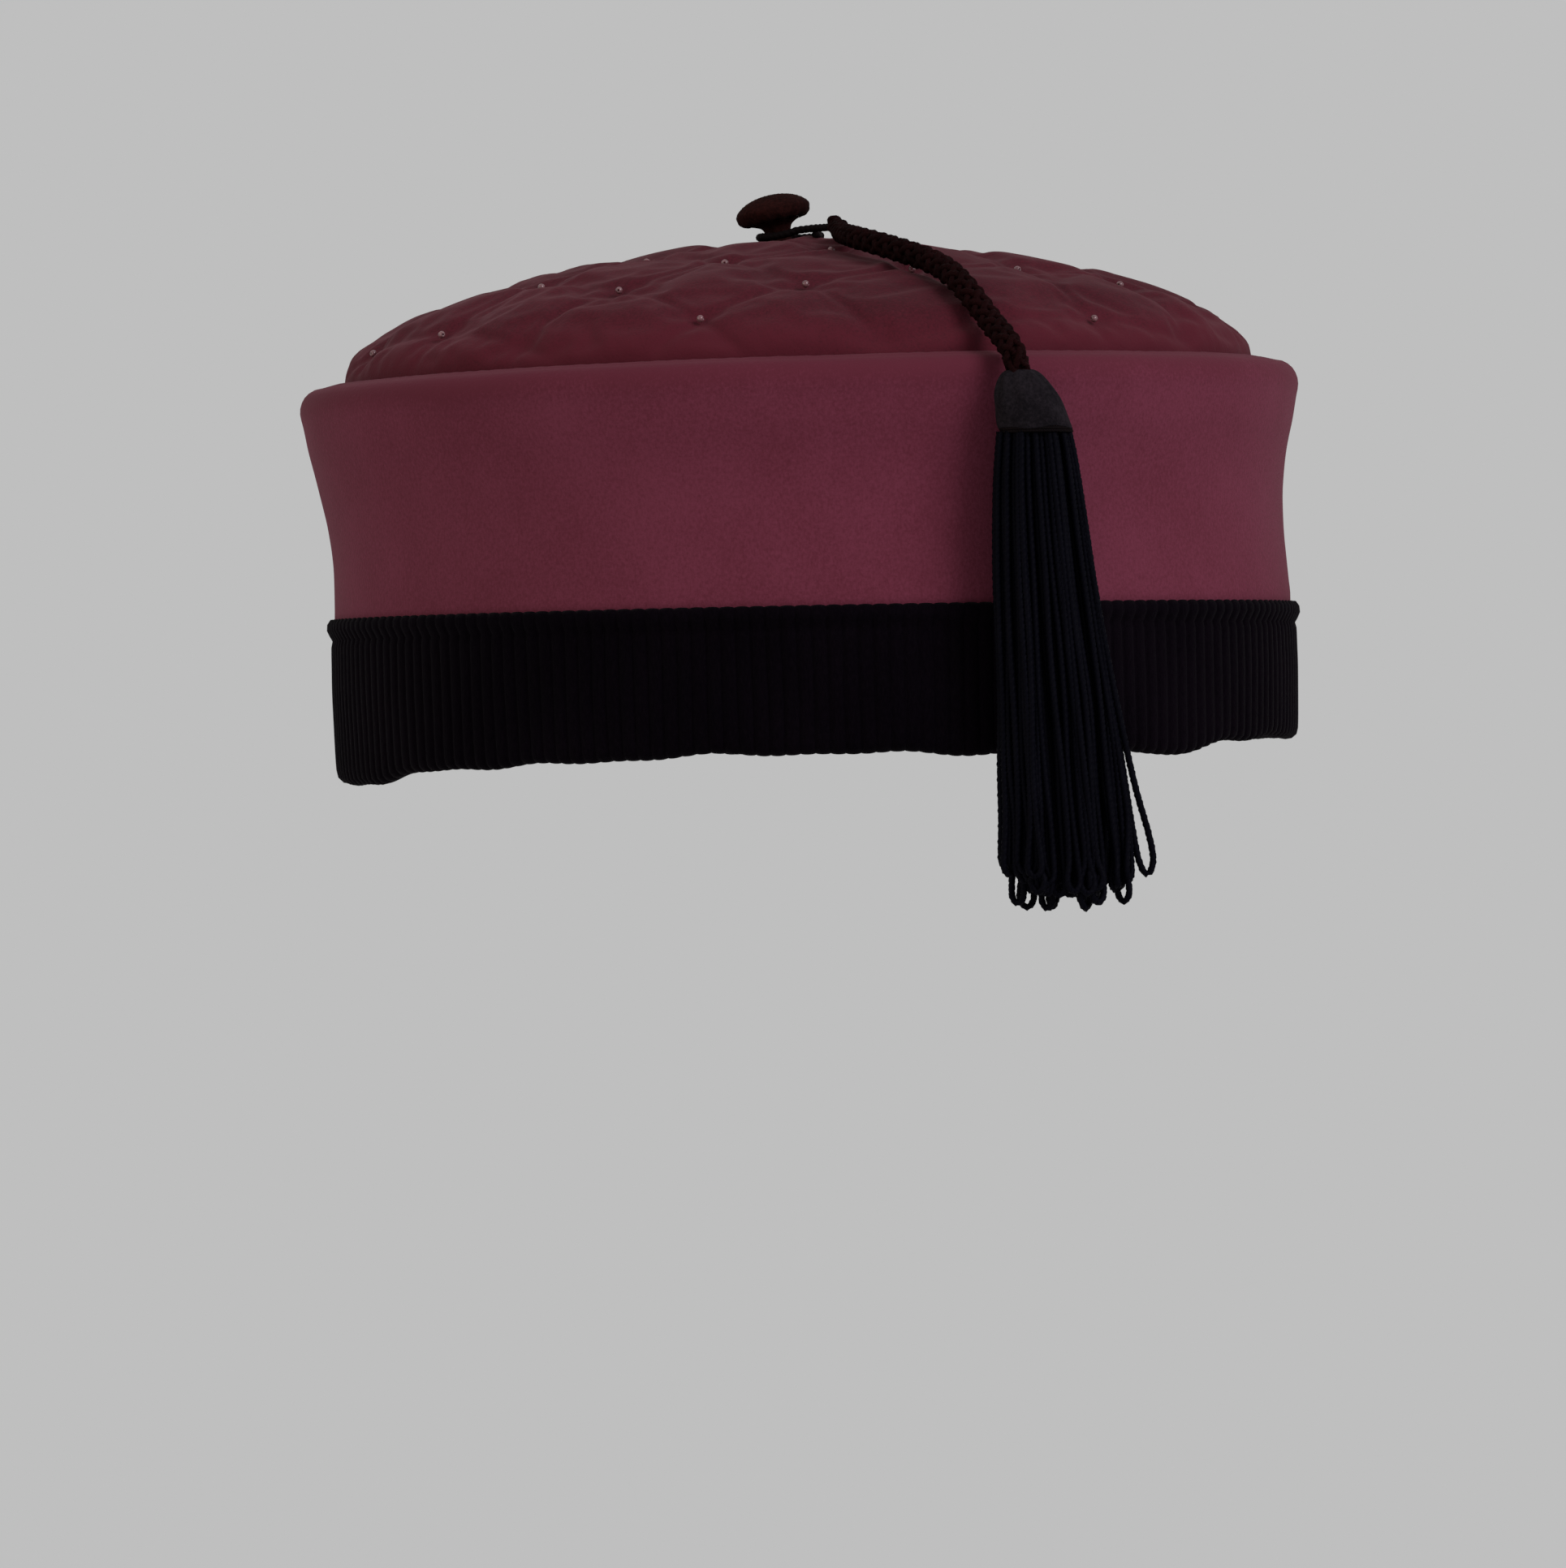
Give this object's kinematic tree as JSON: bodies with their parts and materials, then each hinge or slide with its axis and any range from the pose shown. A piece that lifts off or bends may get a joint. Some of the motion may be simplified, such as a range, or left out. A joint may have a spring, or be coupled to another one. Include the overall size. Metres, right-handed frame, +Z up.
{
  "type": "tasselled lounging cap",
  "caption": "Round brimless cap with a quilted beaded crown, flared side band, ribbed hem band, covered button and a corded tassel; worn on the head.",
  "frame": {"origin": "centre of the head opening, in the plane of the hem", "axes": "+Z up through the crown, -Y towards the side where the tassel hangs"},
  "size_m": [0.2024, 0.2162, 0.145],
  "materials": {
    "crown_velvet": "quilted wine velvet, short pile",
    "side_suede": "wine suede cloth, matte",
    "hem_corduroy": "black wide-wale corduroy, soft",
    "lining_satin": "satin",
    "buckram": "stiffened open weave",
    "wadding": "loose cotton",
    "ribbon": "grosgrain ribbon",
    "bead_pearl": "pearl gloss",
    "button_knit": "dark knitted cloth, matte",
    "head_knit": "charcoal cloth, matte",
    "turned_beech": "bare turned beech",
    "button_tin": "tinned steel, satin",
    "black_thread": "twisted thread",
    "cord_braid": "round braid, soft sheen",
    "tassel_strands": "twisted rayon cord, soft sheen"
  },
  "bodies": {
    "cap": {"crown_top": "crown_velvet", "crown_wadding": "wadding", "crown_lining": "lining_satin", "side_band": "side_suede", "side_stiffener": "buckram", "side_lining": "lining_satin", "hem_band": "hem_corduroy", "sweatband": "ribbon", "button_shank": "button_knit", "crown_bead_01": "bead_pearl", "crown_bead_02": "bead_pearl", "crown_bead_03": "bead_pearl", "crown_bead_04": "bead_pearl", "crown_bead_05": "bead_pearl", "crown_bead_06": "bead_pearl", "crown_bead_07": "bead_pearl", "crown_bead_08": "bead_pearl", "crown_bead_09": "bead_pearl", "crown_bead_10": "bead_pearl", "crown_bead_11": "bead_pearl", "crown_bead_12": "bead_pearl", "crown_bead_13": "bead_pearl", "crown_bead_14": "bead_pearl", "crown_bead_15": "bead_pearl", "crown_bead_16": "bead_pearl", "crown_bead_17": "bead_pearl", "crown_bead_18": "bead_pearl", "crown_bead_19": "bead_pearl", "crown_bead_20": "bead_pearl", "crown_bead_21": "bead_pearl", "crown_bead_22": "bead_pearl", "crown_bead_23": "bead_pearl", "crown_bead_24": "bead_pearl", "crown_bead_25": "bead_pearl", "crown_bead_26": "bead_pearl", "crown_bead_27": "bead_pearl", "crown_bead_28": "bead_pearl", "crown_bead_29": "bead_pearl", "crown_bead_30": "bead_pearl", "crown_bead_31": "bead_pearl", "crown_bead_32": "bead_pearl", "crown_bead_33": "bead_pearl", "crown_bead_34": "bead_pearl", "crown_bead_35": "bead_pearl", "crown_bead_36": "bead_pearl"},
    "button": {"button_cover": "button_knit", "button_mould": "turned_beech", "button_back": "button_tin"},
    "cord": {"cord_loop": "black_thread", "cord_knot": "cord_braid", "tassel_cord": "cord_braid"},
    "cord_end": {"cord_bend": "cord_braid"},
    "tassel": {"tassel_head_cover": "head_knit", "tassel_head_core": "turned_beech", "tassel_binding": "black_thread", "tassel_skirt": "tassel_strands"}
  },
  "joints": [
    {"name": "button_rock", "type": "hinge", "parent": "cap", "child": "button", "pos_m": [-0.0047, 0.001, 0.10545], "axis": [0.3827, 0.9239, 0], "range_deg": [0, 21.5]},
    {"name": "cord_swivel", "type": "hinge", "parent": "cap", "child": "cord", "pos_m": [-0.0024, 0.0002, 0.1056], "axis": [0, 0, 1], "continuous": true},
    {"name": "tassel_lift", "type": "hinge", "parent": "cord", "child": "cord_end", "pos_m": [-0.0007, -0.1082, 0.0754], "axis": [-1, 0, 0], "range_deg": [0, 100]},
    {"name": "tassel_swing", "type": "hinge", "parent": "cord_end", "child": "tassel", "pos_m": [-0.0007, -0.1082, 0.0754], "axis": [0, 1, 0], "range_deg": [-60, 60]}
  ]
}
